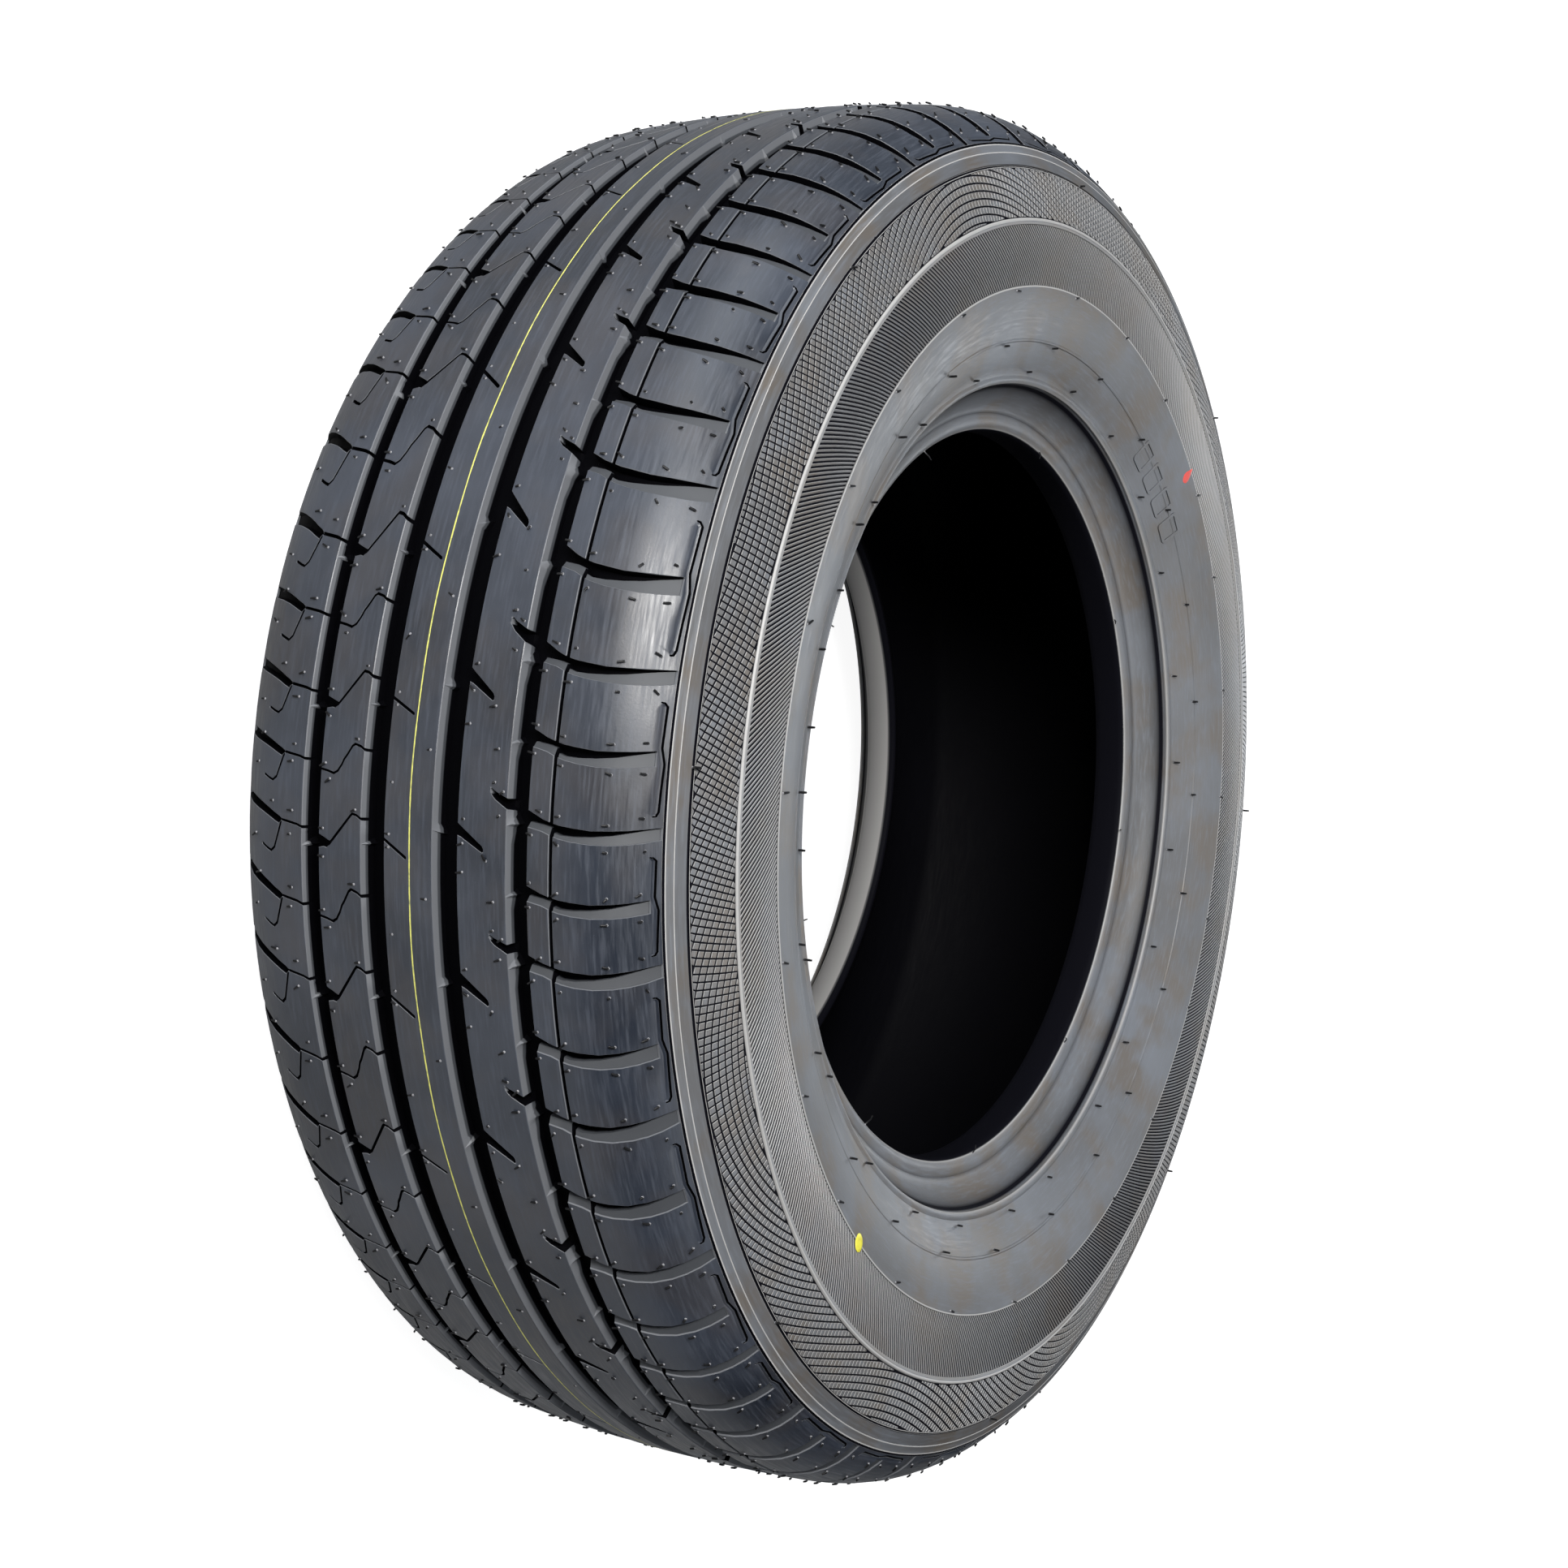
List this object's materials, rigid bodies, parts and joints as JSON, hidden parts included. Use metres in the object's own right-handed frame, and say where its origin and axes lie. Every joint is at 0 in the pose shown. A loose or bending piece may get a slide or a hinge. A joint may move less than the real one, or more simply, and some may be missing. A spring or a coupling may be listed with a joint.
{
  "type": "car tyre",
  "caption": "Tubeless radial car tyre with an asymmetric ribbed road tread, cross grooves in both shoulders, banded sidewalls and open beads.",
  "frame": {"origin": "centre of the tyre, on its spin axis and midway between its sidewalls", "axes": "+Z along the spin axis, towards the outer sidewall, which faces up; the tyre lies on its inner sidewall"},
  "size_m": [0.7631, 0.7632, 0.263],
  "materials": {
    "tyre": "new black rubber, satin on the tread and matt in the textured bands of the sidewall"
  },
  "bodies": {
    "root": {"tyre": "tyre"}
  },
  "joints": []
}
